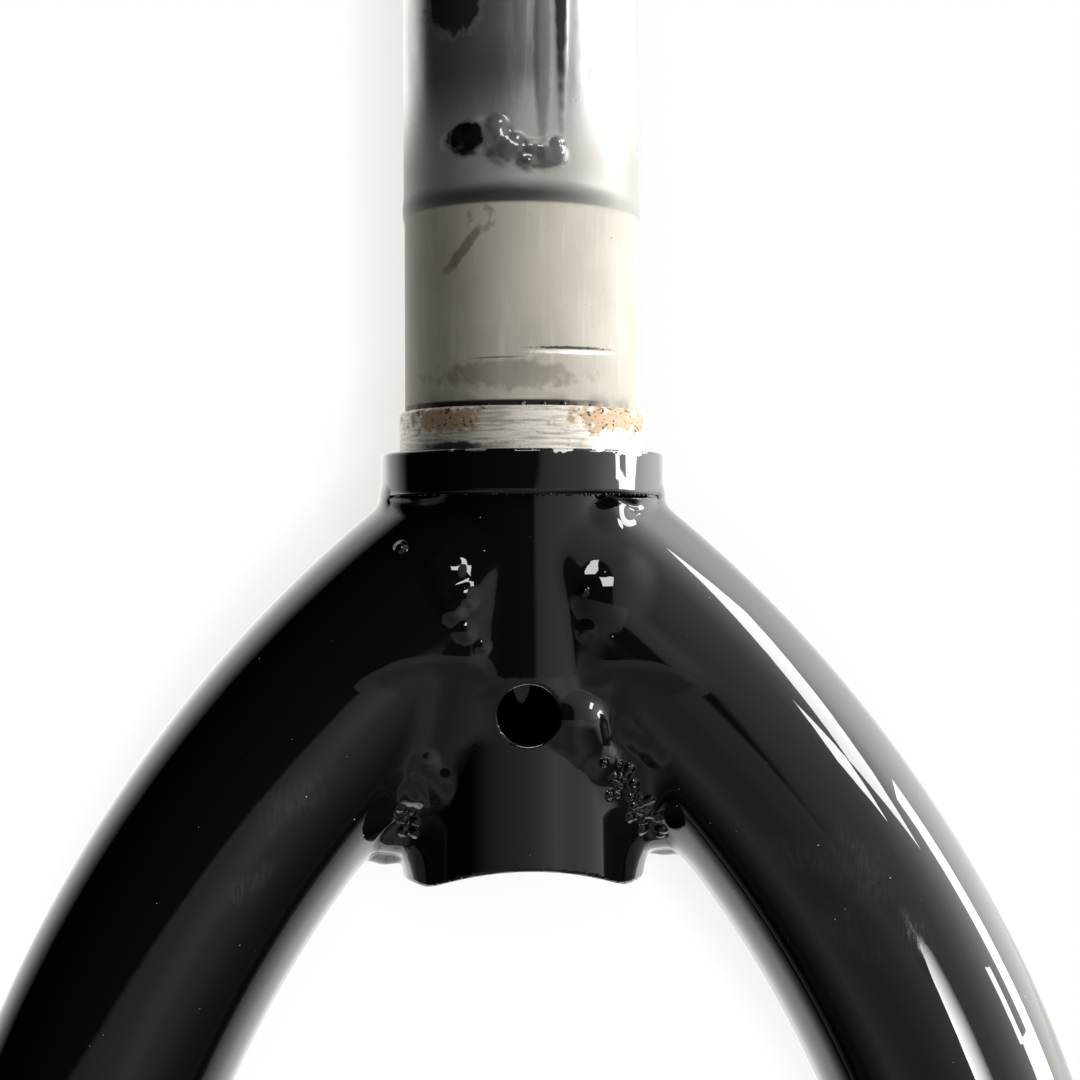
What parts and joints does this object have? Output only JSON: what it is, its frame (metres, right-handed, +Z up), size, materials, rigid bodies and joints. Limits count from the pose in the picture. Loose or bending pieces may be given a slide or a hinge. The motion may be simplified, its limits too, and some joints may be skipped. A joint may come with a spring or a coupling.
{
  "type": "bmx fork",
  "caption": "Welded steel bicycle fork with a plain steerer, press seat for the crown race, bent tapered legs and slotted dropouts, in gloss black with a bare steerer.",
  "frame": {"origin": "on the steerer axis at the crown race shoulder, the top face of the collar", "axes": "+Z up the steerer, front of the fork towards -Y, left leg at -X as seen from the front"},
  "size_m": [0.1502, 0.0623, 0.4941],
  "materials": {
    "black_paint": "gloss black paint with dust and fine scratches",
    "bare_steel": "bare turned steel with rust stains and black overspray"
  },
  "bodies": {
    "root": {"steerer_tube": "bare_steel", "crown_race_ring": "bare_steel", "left_leg": "black_paint", "right_leg": "black_paint", "left_crown_weld": "black_paint", "right_crown_weld": "black_paint", "left_collar_weld": "black_paint", "right_collar_weld": "black_paint", "left_dropout": "black_paint", "right_dropout": "black_paint", "left_inner_tip_weld": "black_paint", "right_inner_tip_weld": "black_paint", "left_outer_tip_weld": "black_paint", "right_outer_tip_weld": "black_paint"}
  },
  "joints": []
}
